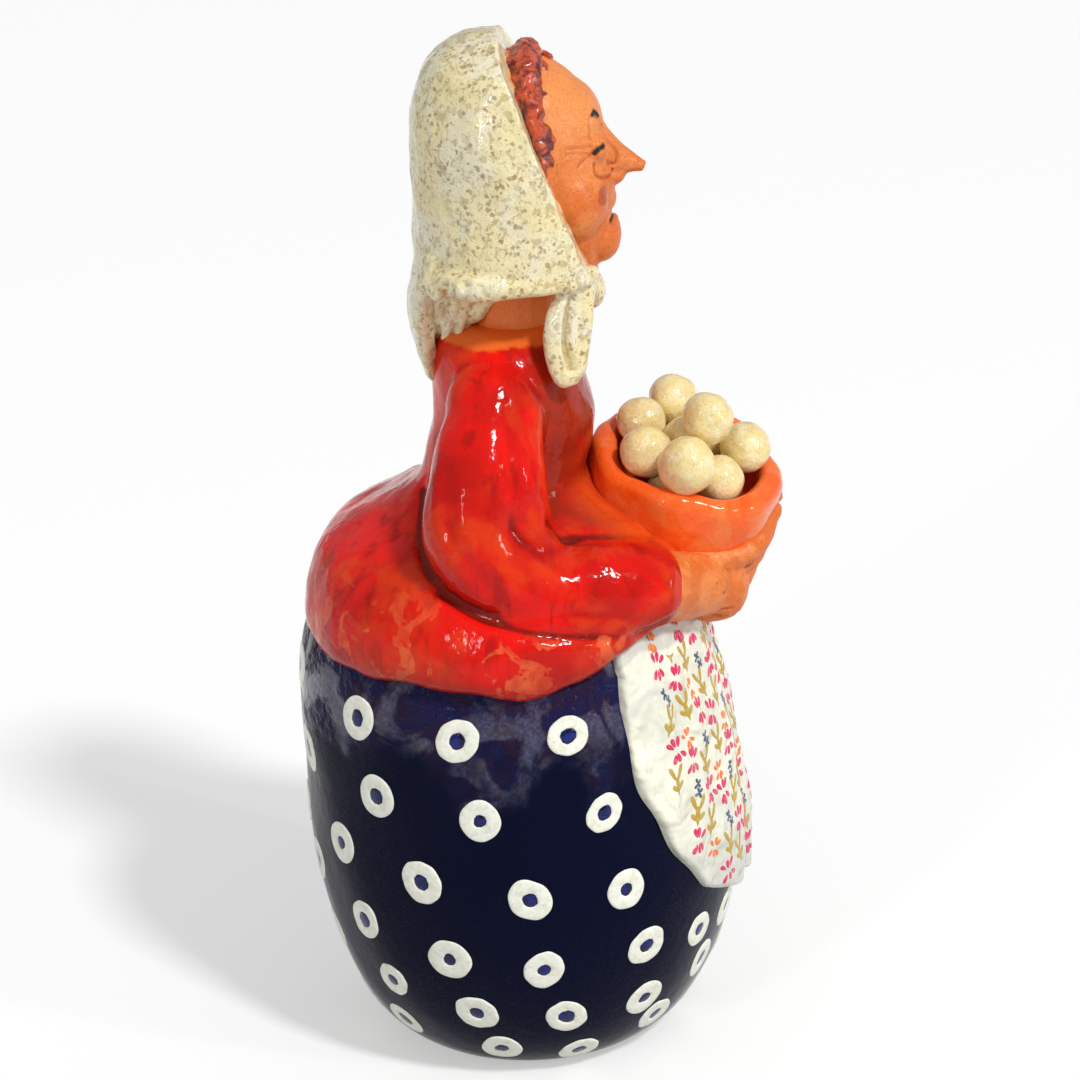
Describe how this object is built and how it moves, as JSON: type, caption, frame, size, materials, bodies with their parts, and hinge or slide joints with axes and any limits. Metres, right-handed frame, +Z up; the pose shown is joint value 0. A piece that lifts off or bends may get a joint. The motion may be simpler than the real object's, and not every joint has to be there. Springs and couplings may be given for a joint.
{
  "type": "figurine",
  "caption": "Hollow fired clay figurine of a standing grandmother in a dotted bell skirt, flared blouse, apron and tied kerchief, hugging a bowl heaped with eggs.",
  "frame": {"origin": "centre of the flat foot, on the surface that the figure stands on", "axes": "+Z up her axis, -Y the way she faces, +X towards her left hand"},
  "size_m": [0.102, 0.1124, 0.2398],
  "materials": {
    "fired_clay": "matt fired terracotta: face, neck and hands are left bare",
    "red_glaze": "glossy mottled red and orange glaze on the blouse",
    "blue_glaze": "glossy near-black navy glaze with ivory rings on the skirt",
    "white_slip": "satin ivory slip with small painted sprigs on the apron",
    "cream_glaze": "glossy speckled ivory glaze on the kerchief",
    "orange_glaze": "clear glossy glaze over terracotta on the bowl",
    "hair_glaze": "glossy dark red-brown glaze on the hair",
    "egg_glaze": "semi-gloss cream glaze on the eggs"
  },
  "bodies": {
    "root": {"figure": "fired_clay", "egg_1": "egg_glaze", "egg_2": "egg_glaze", "egg_3": "egg_glaze", "egg_4": "egg_glaze", "egg_5": "egg_glaze", "egg_6": "egg_glaze", "egg_7": "egg_glaze", "egg_8": "egg_glaze", "egg_9": "egg_glaze", "egg_10": "egg_glaze", "egg_11": "egg_glaze", "egg_12": "egg_glaze"}
  },
  "joints": []
}
